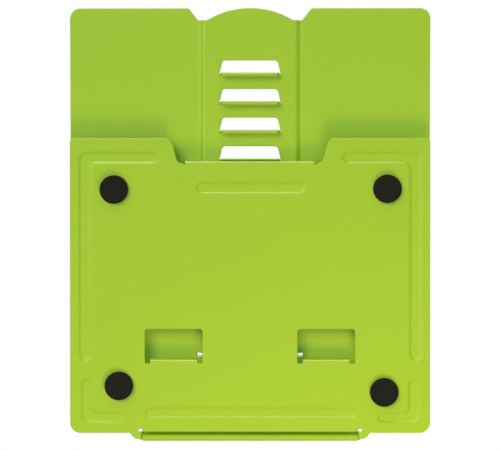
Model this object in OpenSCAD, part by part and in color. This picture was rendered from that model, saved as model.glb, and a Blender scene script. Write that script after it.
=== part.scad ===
// Folding book stand of pressed and painted sheet steel, drawn folded flat on its four feet.
// X runs across the stand, +Y to its rear and +Z up. Plan distances are measured from the front
// edge of the base plate, and the whole stand is then centred on the origin.

/* [Sheet] */
// Thickness of all the sheet steel
sheet_t = 1.2; // [0.9:0.1:1.6]
// Inside radius of the bends
bend_r = 1; // [0.6:0.1:1.4]

/* [Base plate] */
// Width of the base plate
base_w = 227; // [215:1:250]
// Depth of the base plate, front edge to rear edge
base_d = 186; // [178:1:205]
// Radius of the front corners
front_corner_r = 6.5; // [2:0.5:9]
// Radius of the rear corners
rear_corner_r = 3; // [1:0.5:8]
// Depth of the notch in the rear edge, down to the face of the flange
notch_d = 14.7; // [12:0.1:18]
// Width of the bottom of the notch
notch_w = 91; // [90:0.5:100]
// How far each side of the notch slopes outwards
notch_slope = 4.3; // [2:0.1:8]
// Radius of the plate corners beside the notch
notch_corner_r = 5; // [2:0.5:7]
// Radius in the bottom corners of the notch
notch_fillet_r = 3.6; // [1:0.1:3.8]
// How far the bottom of the notch lies below the face of the flange
notch_floor = 1; // [0.5:0.1:1.6]
// Width of the flange along the notch
flange_w = 82; // [70:0.5:83]
// Width of the relief cut at each end of the flange
flange_relief_w = 1; // [0.6:0.1:1.4]
// Inside radius of the flange's lower bend
flange_bend_r = 0.3; // [0.2:0.1:1]

/* [Hinge windows] */
// Distance of each window's middle from the middle of the plate
window_x = 48.1; // [46:0.1:52]
// Width of a window
window_w = 36.2; // [33:0.1:38]
// Depth of a window
window_d = 21.6; // [18:0.1:26]
// Radius of the window's rear corners
window_corner_r = 2; // [0.5:0.1:4]
// How far the windows' front edges lie in front of the back hinge axis
window_set = 5.15; // [5:0.05:6]
// Width of the lip bent up along a window's front edge
lip_w = 29.9; // [20:0.1:31]
// Inside radius of the lip's bend
lip_bend_r = 2.4; // [2:0.1:3]
// Height of the lip above its bend
lip_h = 0.6; // [0.4:0.1:1.5]

/* [Ribs] */
// Depth to which the ribs are pressed
rib_depth = 1.1; // [0.6:0.1:1.1]
// Plan width of a rib's sloping wall
rib_wall_run = 1.4; // [0.8:0.1:1.8]
// Width of the rear ribs at the mouth
rear_rib_w = 7.4; // [6:0.1:9]
// Width of the front ribs at the mouth
front_rib_w = 6.7; // [5:0.1:7.5]
// Distance of the rear corner ribs from the side edges
rear_side_rib_inset = 9.3; // [7:0.1:11]
// Distance of the front corner ribs from the side edges
front_side_rib_inset = 10.3; // [8:0.1:12]
// Distance of the rear corner ribs from the rear edge
rear_rib_inset = 12.4; // [9:0.1:14]
// Distance of the rear corner ribs' inner ends from the middle of the plate
rear_rib_end_x = 62; // [58:0.5:75]
// Distance of the rear corner ribs' front ends from the front edge
rear_rib_front_y = 49.4; // [47:0.1:60]
// Half length of the rear middle rib
rear_bar_half = 30.3; // [15:0.1:33]
// Distance of the rear middle rib from the rear edge
rear_bar_inset = 31.3; // [28:0.1:40]
// Distance of the front corner ribs from the front edge
front_rib_inset = 9.9; // [8:0.1:11]
// Distance of the front corner ribs' inner ends from the middle of the plate
front_rib_end_x = 83.8; // [80:0.1:95]
// Distance of the front corner ribs' rear ends from the front edge
front_rib_rear_y = 30.6; // [20:0.1:33]
// Half length of the front middle rib
front_bar_half = 63; // [40:0.5:66]
// Distance of the front middle rib from the front edge
front_bar_inset = 12.9; // [10:0.1:16]

/* [Feet] */
// Diameter of a rubber foot
foot_d = 18; // [12:0.5:20]
// Height of a rubber foot
foot_h = 3; // [2:0.1:6]
// Radius round the rim of a foot
foot_rim_r = 0.8; // [0.3:0.1:1.2]
// Diameter of the adhesive pad under a foot
pad_d = 17; // [10:0.5:17.5]
// Thickness of the adhesive pad
pad_t = 0.4; // [0.2:0.1:0.8]
// Distances of the rear left foot's middle from the side and rear edges
rear_left_inset = [27, 32]; // [24:0.1:36]
// Distances of the rear right foot's middle from the side and rear edges
rear_right_inset = [27.9, 32.4]; // [24:0.1:36]
// Distances of the front left foot's middle from the side and front edges
front_left_inset = [29, 25.9]; // [24:0.1:36]
// Distances of the front right foot's middle from the side and front edges
front_right_inset = [30.9, 29.9]; // [24:0.1:36]

/* [Back plate] */
// How far each side of the back plate's top edge stands out beyond the base
back_overhang = 0.7; // [0:0.1:2]
// How far each side of the back plate's lower edge stays inside the base
back_low_inset = 0.1; // [0:0.1:2]
// Length of the back plate from its hinge axis to its top edge
back_len = 219.3; // [205:0.1:245]
// Radius of the top outer corners
back_corner_r = 6.6; // [2:0.1:10]
// Radius of the lower outer corners
back_low_corner_r = 5; // [2:0.5:10]
// Width of the floor of the centre channel
channel_w = 57.2; // [54:0.2:59]
// Plan width of the channel's sloping wall
channel_wall_run = 2.9; // [2:0.1:4]
// Depth of the channel
channel_depth = 2.2; // [1.4:0.1:3]
// Width of the flat bottom of a relief notch at the top of the channel wall
relief_w = 6; // [4:0.1:8]
// Depth of the relief notches
relief_d = 7.6; // [4:0.1:10]
// Plan width of a relief notch's sloping side
relief_slope = 5.8; // [4:0.1:10]
// Radius of the wings' top inner corners
relief_corner_r = 2.2; // [0.5:0.1:4]
// Length of the wings in front of the hinge axis
back_hem = 6.2; // [2:0.1:6.2]
// Width of the cut between a hinge bracket and the wing beside it
knuckle_cut_w = 0.8; // [0.4:0.1:1.2]

/* [Louvres] */
// Number of louvre slots
louvre_count = 4; // [1:1:4]
// Distance from one louvre to the next
louvre_pitch = 18.1; // [17:0.1:20]
// Height of a slot above its tab
slot_h = 7.8; // [6:0.1:9]
// Width of a slot at its top
slot_top_w = 35.5; // [30:0.1:38]
// Width of a slot at its tab
slot_low_w = 39.3; // [38.5:0.1:44]
// Radius of the slot's upper corners
slot_corner_r = 2.6; // [0.5:0.1:3]
// Length of a tab below the sheet
tab_len = 6.3; // [5:0.1:6.6]
// Sheet left between the prop's opening and the first louvre
rear_bridge = 4.8; // [4:0.1:7]

/* [Prop strut] */
// Width of the prop
strut_w = 40; // [36:0.5:44]
// Width of the prop's tip
strut_tip_w = 34; // [20:0.5:35]
// Length of the narrowed tip
strut_tip_len = 10; // [5:0.5:20]
// Radius of the tip's corners
strut_tip_r = 3; // [1:0.5:6]
// Width of the prop's rolled knuckle
strut_knuckle_w = 28.8; // [20:0.2:34]
// Length of the neck between knuckle and full width
strut_neck = 5; // [4.5:0.1:8]
// Length of the sloping shoulder beside the neck
strut_shoulder = 4; // [2:0.5:8]
// Length of the prop's stiffening rib
strut_rib_len = 55; // [20:1:60]
// Room beside the prop in its opening
strut_side_room = 2.5; // [1:0.1:3]
// Room at the tip of the prop in its opening
strut_tip_room = 1; // [0.6:0.1:3]
// Room behind the prop's axis for it to swing over
strut_swing_room = 5.5; // [5.4:0.1:7]
// Sheet left between the back hinge axis and the prop's opening
front_bridge = 8; // [7:0.1:9]

/* [Hinges] */
// Diameter of the back and prop hinge rods
rod_d = 3; // [2.4:0.1:3.4]
// Running clearance round a rod
rod_clear = 0.05; // [0.02:0.01:0.1]
// Angle through which a knuckle is rolled
roll_angle = 300; // [270:5:305]
// Height of the back hinge axis above the base sheet
back_axis_h = 7; // [6.8:0.1:8]
// Distance of the back hinge axis from the front edge
back_axis_y = 49.1; // [48:0.1:52]
// Distance of the prop hinge axis in front of the flange's face
flange_reach = 10.7; // [10:0.1:12.5]
// Gap between pieces that come to rest on each other
rest_gap = 0.4; // [0.3:0.05:0.6]
// Gap at the ends of the knuckles
knuckle_gap = 0.5; // [0.2:0.1:1]
// How far the back hinge rod's ends stand out beyond the brackets
rod_reach = 4.6; // [2:0.1:6]
// Width of the back plate's rolled knuckle
back_knuckle_w = 34; // [26:0.5:38]
// Length of the foot of the brackets welded on the base beside the knuckle
bracket_foot = 6; // [4:0.1:6.5]
// How deep the weld sinks a bracket's foot into the base sheet
bracket_sink = 0.2; // [0.1:0.1:0.4]

/* [Page stop] */
// Length of the rolled edge of the page stop
stop_w = 135.8; // [120:0.2:140]
// Height of the page stop above its hinge axis when it stands up
stop_h = 40; // [25:0.5:41]
// Step at each end of the rolled edge
stop_step = 0.6; // [0.4:0.1:2]
// Gap between the rolled edge and the front lugs
stop_gap = 0.3; // [0.3:0.1:0.8]
// Radius of the page stop's corners
stop_corner_r = 8; // [2:0.5:12]
// Diameter of the page stop's hinge rod
stop_rod_d = 2.2; // [1.8:0.1:2.6]
// Distance of the page stop's axis in front of the front edge
stop_axis_d = 3; // [3:0.1:4]
// Height of the rolled edge above the underside of the base
stop_lift = 1.6; // [1.5:0.1:2.5]
// How far the front edge is set back behind the rolled edge
edge_set_back = 0.8; // [0.3:0.1:1.2]
// Width of the ear beside each front lug
ear_w = 6.3; // [4:0.1:8]
// Length of the ear in front of the front edge
ear_len = 3.8; // [3:0.1:4.5]
// Radius of the ear's outer corner
ear_r = 3.4; // [1:0.1:3.6]
// Sheet round the rod's hole in a front lug
lug_wall = 0.8; // [0.6:0.1:1.5]
// Length of the relief cut behind a front lug
lug_relief = 1.8; // [1:0.1:3]
// Diameter of the rod's peened heads
head_d = 3.4; // [2.8:0.1:4.5]
// Thickness of the rod's peened heads
head_t = 0.7; // [0.4:0.1:1]

/* [Hidden] */

$fn = 64;
GREEN = [0.66, 0.8, 0.2];
STEEL = [0.8, 0.8, 0.82];
RUBBER = [0.13, 0.12, 0.12];
ADHESIVE = [0.85, 0.85, 0.8];

// Heights of the sheet surfaces and hinge axes
base_z = foot_h + pad_t;
top_z = base_z + sheet_t;
roll_r = rod_d / 2 + rod_clear;
roll_mid = roll_r + sheet_t / 2;
roll_out = roll_r + sheet_t;
back_axis_z = top_z + back_axis_h;
channel_z = back_axis_z + roll_r;
strut_axis_z = channel_z - rest_gap - roll_out;
stop_roll_r = stop_rod_d / 2 + rod_clear;
stop_roll_mid = stop_roll_r + sheet_t / 2;
stop_roll_out = stop_roll_r + sheet_t;
stop_axis_z = base_z + stop_lift + stop_roll_out;

// Plan places, measured from the front edge of the base plate
bend_out = bend_r + sheet_t;
bend_mid = bend_r + sheet_t / 2;
flange_y = base_d - notch_d;
flange_bend_y = flange_y - flange_bend_r - sheet_t;
strut_axis_y = flange_y - flange_reach;
strut_len = strut_axis_y - back_axis_y - front_bridge - strut_tip_room;
window_y = back_axis_y - window_set;
bracket_bend_y = back_axis_y - roll_mid - bend_mid;
bracket_x = back_knuckle_w / 2 + knuckle_gap;
bracket_room = roll_out + knuckle_gap;
opening_front = back_axis_y + front_bridge;
opening_rear = strut_axis_y + strut_swing_room;
opening_w = strut_w + 2 * strut_side_room;
lip_y = opening_rear + rear_bridge + bend_out;
back_top_y = back_axis_y + back_len;
back_top_w = base_w + 2 * back_overhang;
back_low_w = base_w - 2 * back_low_inset;
rear_left_spot = [rear_left_inset.x - base_w / 2, base_d - rear_left_inset.y];
rear_right_spot = [base_w / 2 - rear_right_inset.x, base_d - rear_right_inset.y];
front_left_spot = [front_left_inset.x - base_w / 2, front_left_inset.y];
front_right_spot = [base_w / 2 - front_right_inset.x, front_right_inset.y];
front_lug_x = stop_w / 2 + stop_gap;
ear_x = front_lug_x + bend_out;
stop_front_y = -stop_axis_d - stop_roll_out;

// The stand rests with its middle on the origin
centre_y = (back_top_y + stop_front_y) / 2;

// Angles at which the prop's tip and the page stop's edge come to rest on the base
strut_rest_angle = asin((strut_axis_z + roll_r - top_z - rest_gap) / strut_len);
stop_rest_angle = asin((stop_axis_z + stop_roll_r - top_z - rest_gap) / stop_h);

// Corners [x, y, radius] of one half of an outline, joined to their mirror image
function both_sides(half) = concat(
    half, [for (i = [len(half) - 1 : -1 : 0]) [-half[i].x, half[i].y, half[i].z]]);

function place(c, i) = let (p = c[(i + len(c)) % len(c)]) [p.x, p.y];
function way(c, i, step) = let (d = place(c, i + step) - place(c, i)) d / norm(d);
function half_angle(c, i) = acos(way(c, i, -1) * way(c, i, 1)) / 2;
function is_outward(c, i) = cross(way(c, i, 1), way(c, i, -1)) > 0;
function arc_centre(c, i) = let (m = way(c, i, -1) + way(c, i, 1))
    place(c, i) + m / norm(m) * c[i].z / sin(half_angle(c, i));
function arc_ends(c, i) = let (set_back = c[i].z / tan(half_angle(c, i)))
    [for (step = [-1, 1]) place(c, i) + set_back * way(c, i, step)];

// Outline through corners [x, y, radius] listed anticlockwise, with true arcs at the corners
module rounded_outline(c) {
    rounded = [for (i = [0 : len(c) - 1]) if (c[i].z > 0) i];
    difference() {
        union() {
            polygon([for (i = [0 : len(c) - 1]) each c[i].z > 0 ? arc_ends(c, i) : [place(c, i)]]);
            for (i = rounded) if (is_outward(c, i)) translate(arc_centre(c, i)) circle(c[i].z);
        }
        for (i = rounded) if (!is_outward(c, i)) translate(arc_centre(c, i)) circle(c[i].z);
    }
}

// Bend of the sheet seen edge on, from the positive x direction through a turn
module bend(r, turn) {
    far = 2 * (r + sheet_t);
    intersection() {
        difference() {
            circle(r + sheet_t);
            circle(r);
        }
        polygon(concat([[0, 0]], [for (k = [0 : 6]) far * [cos(turn * k / 6), sin(turn * k / 6)]]));
    }
}

// Sheet seen edge on. Each step is a straight run, then a bend: [length, turn, inside radius]. The
// path is the middle of the sheet, and a positive turn goes left.
module bent_strip(steps, start, heading, i = 0) {
    if (i < len(steps)) {
        run = steps[i][0];
        turn = steps[i][1];
        r = steps[i][2];
        side = turn < 0 ? -1 : 1;
        bend_start = start + run * [cos(heading), sin(heading)];
        centre = bend_start + side * (r + sheet_t / 2) * [-sin(heading), cos(heading)];
        spoke = heading - side * 90 + turn;
        if (run > 0) translate(start) rotate(heading) translate([0, -sheet_t / 2]) square([run, sheet_t]);
        if (turn != 0) translate(centre) rotate(heading - side * 90) bend(r, turn);
        bend_end = turn == 0 ? bend_start : centre + (r + sheet_t / 2) * [cos(spoke), sin(spoke)];
        bent_strip(steps, bend_end, heading + turn, i + 1);
    }
}

// Draws a Y-Z section across the stand, from one X to another
module across(from_x, to_x) {
    translate([from_x, 0, 0]) rotate([90, 0, 90]) linear_extrude(to_x - from_x) children();
}

// Moves the finished pieces so that the folded stand is centred on the origin
module centred() {
    translate([0, -centre_y, 0]) children();
}

// Solid of a rib along plan points: sloping walls, round ends and corners
module rib_form(points, mouth_w, h) {
    crown_w = mouth_w - 2 * rib_wall_run;
    section = [[-mouth_w / 2, 0], [mouth_w / 2, 0], [crown_w / 2, h], [-crown_w / 2, h]];
    for (p = points) translate(p) cylinder(h = h, d1 = mouth_w, d2 = crown_w);
    for (i = [1 : len(points) - 1]) {
        leg = points[i] - points[i - 1];
        translate(points[i - 1]) rotate(atan2(leg.y, leg.x)) rotate([90, 0, 90])
            linear_extrude(norm(leg)) polygon(section);
    }
}

// Ribs of the base plate, pressed up from below: [points, width]
function base_ribs() =
    let (
        rear_x = base_w / 2 - rear_side_rib_inset,
        rear_y = base_d - rear_rib_inset,
        front_x = base_w / 2 - front_side_rib_inset
    )
    concat(
        [for (s = [-1, 1])
            [[[s * rear_rib_end_x, rear_y], [s * rear_x, rear_y], [s * rear_x, rear_rib_front_y]],
             rear_rib_w]],
        [for (s = [-1, 1])
            [[[s * front_rib_end_x, front_rib_inset], [s * front_x, front_rib_inset],
              [s * front_x, front_rib_rear_y]], front_rib_w]],
        [[[[-rear_bar_half, base_d - rear_bar_inset], [rear_bar_half, base_d - rear_bar_inset]],
          rear_rib_w],
         [[[-front_bar_half, front_bar_inset], [front_bar_half, front_bar_inset]], front_rib_w]]);

module base_outline() {
    notch_half = notch_w / 2;
    flange_half = flange_w / 2;
    relief_half = flange_half + flange_relief_w;
    floor_y = flange_y - notch_floor;
    relief_y = flange_bend_y - sheet_t / 2;
    rounded_outline(both_sides([
        [front_lug_x - lug_relief / 2, edge_set_back, 0],
        [front_lug_x - lug_relief / 2, edge_set_back + lug_relief, 0],
        [ear_x, edge_set_back + lug_relief, 0],
        [ear_x, -ear_len, 0],
        [front_lug_x + sheet_t + ear_w, -ear_len, ear_r],
        [front_lug_x + sheet_t + ear_w, 0, 0],
        [base_w / 2, 0, front_corner_r],
        [base_w / 2, base_d, rear_corner_r],
        [notch_half + notch_slope, base_d, notch_corner_r],
        [notch_half, floor_y, notch_fillet_r],
        [relief_half, floor_y, 0],
        [relief_half, relief_y, 0],
        [flange_half, relief_y, 0],
        [flange_half, flange_bend_y, 0]
    ]));
}

module hinge_window() {
    rounded_outline([
        [-window_w / 2, window_y, 0],
        [window_w / 2, window_y, 0],
        [window_w / 2, window_y + window_d, window_corner_r],
        [-window_w / 2, window_y + window_d, window_corner_r]
    ]);
}

// Lip bent up along the front edge of a window
module window_lip_section() {
    bent_strip([[0, 90, lip_bend_r], [lip_h, 0, 0]], [window_y, base_z + sheet_t / 2], 0);
}

// Bracket welded on the base, bent up and rolled over the back hinge rod
module hinge_bracket_section() {
    foot_mid = top_z + sheet_t / 2 - bracket_sink;
    bent_strip([[bracket_foot, 90, bend_r], [back_axis_z - foot_mid - bend_mid, -roll_angle, roll_r]],
        [bracket_bend_y - bracket_foot, foot_mid], 0);
}

// Rear flange bent up, turned forward and rolled round the prop's hinge rod
module flange_section() {
    rise = strut_axis_z + roll_mid - base_z - sheet_t - flange_bend_r - bend_mid;
    shelf = flange_y - bend_out - strut_axis_y;
    bent_strip([[0, 90, flange_bend_r], [rise, 90, bend_r], [shelf, roll_angle, roll_r]],
        [flange_bend_y, base_z + sheet_t / 2], 0);
}

// The flange is cut away in the middle, where the prop's knuckle turns and the prop swings over
module rear_flange() {
    knuckle_room = strut_knuckle_w / 2 + knuckle_gap;
    difference() {
        across(-flange_w / 2, flange_w / 2) flange_section();
        across(-knuckle_room, knuckle_room)
            translate([strut_axis_y - 2 * roll_out, strut_axis_z - 2 * roll_out])
                square([2 * roll_out + strut_swing_room, 4 * roll_out]);
    }
}

// Lug bent up beside an ear, with the hole for the page stop's rod
module front_lug() {
    lug_r = stop_rod_d / 2 + rod_clear + lug_wall;
    lug_foot = top_z + bend_r;
    translate([0, edge_set_back, 0]) rotate([90, 0, 0]) linear_extrude(edge_set_back + ear_len)
        bent_strip([[0, -90, bend_r]], [ear_x, base_z + sheet_t / 2], 180);
    across(front_lug_x, front_lug_x + sheet_t) {
        translate([-stop_axis_d, stop_axis_z]) circle(lug_r);
        translate([-ear_len, lug_foot]) square([ear_len + edge_set_back, stop_axis_z - lug_foot]);
        translate([-stop_axis_d, lug_foot])
            square([stop_axis_d + edge_set_back, stop_axis_z + lug_r - lug_foot]);
    }
}

module base_plate() {
    stop_hole_d = stop_rod_d + 2 * rod_clear;
    color(GREEN) centred() difference() {
        union() {
            translate([0, 0, base_z]) linear_extrude(sheet_t) difference() {
                base_outline();
                for (s = [-1, 1]) translate([s * window_x, 0]) hinge_window();
            }
            for (rib = base_ribs()) translate([0, 0, top_z]) rib_form(rib[0], rib[1] + sheet_t, rib_depth);
            for (s = [-1, 1])
                across(s * window_x - lip_w / 2, s * window_x + lip_w / 2) window_lip_section();
            for (from_x = [-channel_w / 2, bracket_x])
                across(from_x, from_x + channel_w / 2 - bracket_x) hinge_bracket_section();
            rear_flange();
            front_lug();
            mirror([1, 0, 0]) front_lug();
        }
        for (rib = base_ribs()) translate([0, 0, base_z]) rib_form(rib[0], rib[1], rib_depth);
        across(-base_w / 2, base_w / 2) translate([-stop_axis_d, stop_axis_z]) circle(d = stop_hole_d);
    }
}

module back_outline() {
    relief_x = (channel_w + channel_wall_run) / 2;
    arc_half = relief_x - relief_w / 2;
    arc_r = (arc_half * arc_half + relief_d * relief_d) / (2 * relief_d);
    floor_x = channel_w / 2;
    hem_y = back_axis_y - back_hem;
    rounded_outline(both_sides([
        [back_knuckle_w / 2, back_axis_y, 0],
        [back_knuckle_w / 2, back_axis_y + bracket_room, 0],
        [floor_x + knuckle_cut_w, back_axis_y + bracket_room, 0],
        [floor_x + knuckle_cut_w, hem_y, 0],
        [back_low_w / 2, hem_y, back_low_corner_r],
        [back_top_w / 2, back_top_y, back_corner_r],
        [relief_x + relief_w / 2 + relief_slope, back_top_y, relief_corner_r],
        [relief_x + relief_w / 2, back_top_y - relief_d, bend_r]
    ]));
    intersection() {
        translate([0, back_top_y - arc_r]) circle(arc_r);
        translate([-arc_half, back_top_y - 2 * relief_d]) square([2 * arc_half, 2 * relief_d]);
    }
}

// Louvre lips, from the one nearest the hinge
function lips() = [for (i = [0 : louvre_count - 1]) lip_y + i * louvre_pitch];

module louvre_slot(lip) {
    rounded_outline(both_sides([
        [slot_low_w / 2, lip - bend_out, 0],
        [slot_low_w / 2, lip, 0],
        [slot_top_w / 2, lip + slot_h, slot_corner_r]
    ]));
}

// Tab bent down at the lower edge of a slot, narrowing to its tip
module louvre_tab(lip) {
    tip_z = channel_z - tab_len;
    intersection() {
        across(-slot_low_w / 2, slot_low_w / 2)
            bent_strip([[0, -90, bend_r], [tab_len - bend_r, 0, 0]],
                [lip - bend_out, channel_z + sheet_t / 2], 0);
        translate([0, lip + sheet_t, 0]) rotate([90, 0, 0]) linear_extrude(bend_out + 2 * sheet_t)
            polygon([[-slot_top_w / 2, tip_z], [slot_top_w / 2, tip_z],
                [slot_low_w / 2, channel_z], [slot_low_w / 2, channel_z + sheet_t],
                [-slot_low_w / 2, channel_z + sheet_t], [-slot_low_w / 2, channel_z]]);
    }
}

// Sheet of the back plate seen end on: wings, sloping walls and channel floor
module channel_section() {
    floor_x = channel_w / 2;
    wing_x = floor_x + channel_wall_run;
    reach = max(back_top_w, back_low_w) / 2;
    wing_z = channel_z + channel_depth;
    lower = [[-reach, wing_z], [-wing_x, wing_z], [-floor_x, channel_z],
        [floor_x, channel_z], [wing_x, wing_z], [reach, wing_z]];
    polygon(concat(lower, [for (i = [len(lower) - 1 : -1 : 0]) lower[i] + [0, sheet_t]]));
}

module back_plate() {
    sheet_len = back_len + back_hem;
    color(GREEN) centred() {
        intersection() {
            translate([0, back_top_y, 0]) rotate([90, 0, 0]) linear_extrude(sheet_len) channel_section();
            translate([0, 0, back_axis_z]) linear_extrude(roll_out + channel_depth + sheet_t) difference() {
                back_outline();
                translate([-opening_w / 2, opening_front]) square([opening_w, opening_rear - opening_front]);
                for (lip = lips()) louvre_slot(lip);
            }
        }
        for (lip = lips()) louvre_tab(lip);
        across(-back_knuckle_w / 2, back_knuckle_w / 2)
            bent_strip([[0, roll_angle, roll_r]], [back_axis_y, back_axis_z + roll_mid], 180);
    }
}

module strut_outline() {
    rounded_outline(both_sides([
        [strut_tip_w / 2, -strut_len, strut_tip_r],
        [strut_tip_w / 2, -strut_len + strut_tip_len, 0],
        [strut_w / 2, -strut_len + strut_tip_len + strut_shoulder, 0],
        [strut_w / 2, -strut_neck - strut_shoulder, 0],
        [strut_knuckle_w / 2, -strut_neck, 0],
        [strut_knuckle_w / 2, 0, 0]
    ]));
}

// Prop with its tip resting on the base, drawn about its own hinge axis
module prop_strut() {
    rib_start = -strut_neck - 2 * strut_shoulder - rear_rib_w;
    rib = [[0, rib_start], [0, rib_start - strut_rib_len]];
    color(GREEN) centred() translate([0, strut_axis_y, strut_axis_z]) rotate([strut_rest_angle, 0, 0]) {
        difference() {
            union() {
                translate([0, 0, roll_r]) linear_extrude(sheet_t) strut_outline();
                translate([0, 0, roll_out]) rib_form(rib, rear_rib_w + sheet_t, rib_depth);
            }
            translate([0, 0, roll_r]) rib_form(rib, rear_rib_w, rib_depth);
        }
        across(-strut_knuckle_w / 2, strut_knuckle_w / 2)
            bent_strip([[0, -roll_angle, roll_r]], [0, roll_mid], 0);
    }
}

// Page stop lying on the ledge, drawn about its own hinge axis
module page_stop() {
    flap_half = stop_w / 2 - stop_step;
    color(GREEN) centred() translate([0, -stop_axis_d, stop_axis_z]) rotate([-stop_rest_angle, 0, 0]) {
        translate([0, 0, stop_roll_r]) linear_extrude(sheet_t) rounded_outline([
            [-flap_half, 0, 0], [flap_half, 0, 0],
            [flap_half, stop_h, stop_corner_r], [-flap_half, stop_h, stop_corner_r]
        ]);
        across(-stop_w / 2, stop_w / 2)
            bent_strip([[0, roll_angle, stop_roll_r]], [0, stop_roll_mid], 180);
    }
}

module rod(half_len, d, y, z) {
    color(STEEL) centred() translate([-half_len, y, z]) rotate([0, 90, 0]) cylinder(h = 2 * half_len, d = d);
}

module back_hinge_rod() {
    rod(channel_w / 2 + rod_reach, rod_d, back_axis_y, back_axis_z);
}

module strut_hinge_rod() {
    rod(flange_w / 2, rod_d, strut_axis_y, strut_axis_z);
}

// Rod of the page stop, peened over outside the front lugs
module stop_hinge_rod() {
    lug_out = front_lug_x + sheet_t;
    rod(lug_out + head_t, stop_rod_d, -stop_axis_d, stop_axis_z);
    for (s = [-1, 1]) color(STEEL) centred()
        translate([s * (lug_out + head_t / 2), -stop_axis_d, stop_axis_z]) rotate([0, 90, 0])
            cylinder(h = head_t, d = head_d, center = true);
}

module foot(spot) {
    color(RUBBER) centred() translate(spot) rotate_extrude() {
        translate([0, foot_rim_r]) square([foot_d / 2, foot_h - foot_rim_r]);
        square([foot_d / 2 - foot_rim_r, foot_rim_r]);
        translate([foot_d / 2 - foot_rim_r, foot_rim_r]) intersection() {
            circle(foot_rim_r);
            translate([0, -foot_rim_r]) square(foot_rim_r);
        }
    }
}

module pad(spot) {
    color(ADHESIVE) centred() translate([spot.x, spot.y, foot_h]) cylinder(h = pad_t, d = pad_d);
}

base_plate();
back_plate();
prop_strut();
page_stop();
back_hinge_rod();
strut_hinge_rod();
stop_hinge_rod();
foot(rear_left_spot);  // rear_left_foot
foot(rear_right_spot);  // rear_right_foot
foot(front_left_spot);  // front_left_foot
foot(front_right_spot);  // front_right_foot
pad(rear_left_spot);  // rear_left_pad
pad(rear_right_spot);  // rear_right_pad
pad(front_left_spot);  // front_left_pad
pad(front_right_spot);  // front_right_pad
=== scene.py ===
"""Folding book stand of pressed sheet steel: its painted pressings, rubber feet, light and camera.

Sizes are in millimetres and plan distances are measured from the front edge of the base plate,
as on the stand's drawing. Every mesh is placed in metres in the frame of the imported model.
"""

import logging
import math
from dataclasses import dataclass, field
from enum import Enum
from typing import Callable, Iterator, Sequence

import bmesh
import bpy
import numpy as np
from mathutils import Matrix, Vector
from mathutils.geometry import delaunay_2d_cdt


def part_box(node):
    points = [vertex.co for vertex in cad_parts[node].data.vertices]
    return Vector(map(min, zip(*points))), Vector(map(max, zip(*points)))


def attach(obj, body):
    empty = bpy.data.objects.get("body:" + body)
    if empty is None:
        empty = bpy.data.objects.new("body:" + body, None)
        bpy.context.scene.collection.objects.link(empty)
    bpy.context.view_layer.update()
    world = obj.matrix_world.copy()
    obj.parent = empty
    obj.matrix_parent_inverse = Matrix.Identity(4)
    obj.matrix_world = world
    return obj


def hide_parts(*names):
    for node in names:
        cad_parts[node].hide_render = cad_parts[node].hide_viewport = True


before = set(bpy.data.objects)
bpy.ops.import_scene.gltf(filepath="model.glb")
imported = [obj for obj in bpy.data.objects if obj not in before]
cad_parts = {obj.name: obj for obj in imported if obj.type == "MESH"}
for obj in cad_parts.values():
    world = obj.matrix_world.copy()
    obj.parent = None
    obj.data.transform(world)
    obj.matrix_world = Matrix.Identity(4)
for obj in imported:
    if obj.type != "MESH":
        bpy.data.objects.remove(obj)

LOG = logging.getLogger("book_stand")
IMAGE_WIDTH = 500
MM = 0.001
SIDES = (-1, 1)

# Plan distance from the base's front edge to the model's origin.
CENTRE_Y = 131.525

# Largest angle between the points of a rounded corner and of a bend, in degrees.
ARC_STEP = 9.0
BEND_STEP = 10.0

# Least radius of a rounded corner, so that parallel outlines keep the same number of points.
LEAST_R = 0.05

# Half the flat that a rib's round end keeps between its two corners.
END_FLAT = 0.05

# Distance that crease lines reach past a plate.
OVERHANG = 2.0

# Distance within which points of a sheet become one.
WELD = 0.02

# Distance, and share of a line, too small to count.
TINY = 1e-5

Point = tuple[float, float]
Triple = tuple[float, float, float]
Placement = Callable[[Vector], Vector]
Link = tuple[bpy.types.Node, str | int, bpy.types.Node, str | int]


class Body(Enum):
    """Moving bodies of the stand."""

    BASE = "base"
    BACK = "back"
    STRUT = "strut"
    STOP = "stop"


class Slot(Enum):
    """Finishes of the remodelled pieces, as the part's record names them."""

    PAINT = "green_paint"
    RUBBER = "black_rubber"


class Sweep(Enum):
    """Direction in which a bent section is drawn out."""

    ACROSS = "x"
    ALONG = "y"


@dataclass(frozen=True)
class Stock:
    """Sheet stock, and the few sizes and places that several pressings share."""

    thickness: float = 1.2
    bend_r: float = 1.0
    rim_r: float = 0.54
    rim_steps: int = 3
    rim_angle: float = 50.0
    edge_band: float = 0.9
    roll_angle: float = 300.0
    roll_r: float = 1.55
    stop_roll_r: float = 1.15
    stop_axis: Point = (-3.0, 7.35)
    base_z: float = 3.4

    @property
    def half(self) -> float:
        """Half the sheet's thickness."""
        return self.thickness / 2

    @property
    def bend_out(self) -> float:
        """Outside radius of an ordinary bend."""
        return self.bend_r + self.thickness

    @property
    def base_mid(self) -> float:
        """Height of the middle of the base sheet."""
        return self.base_z + self.half


STOCK = Stock()


@dataclass(frozen=True)
class Corner:
    """Corner of an outline and the radius that rounds it."""

    x: float
    y: float
    r: float = 0.0


@dataclass(frozen=True)
class Bend:
    """A straight run of sheet, then a bend through a turn in degrees, left when positive."""

    run: float
    turn: float = 0.0
    r: float = STOCK.bend_r


def in_frame(point: Vector) -> Vector:
    """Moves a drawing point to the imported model's frame.

    Args:
        point: Place in millimetres, with y measured from the base's front edge.

    Returns:
        The same place in metres.
    """
    return Vector((point.x, point.y - CENTRE_Y, point.z)) * MM


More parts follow.
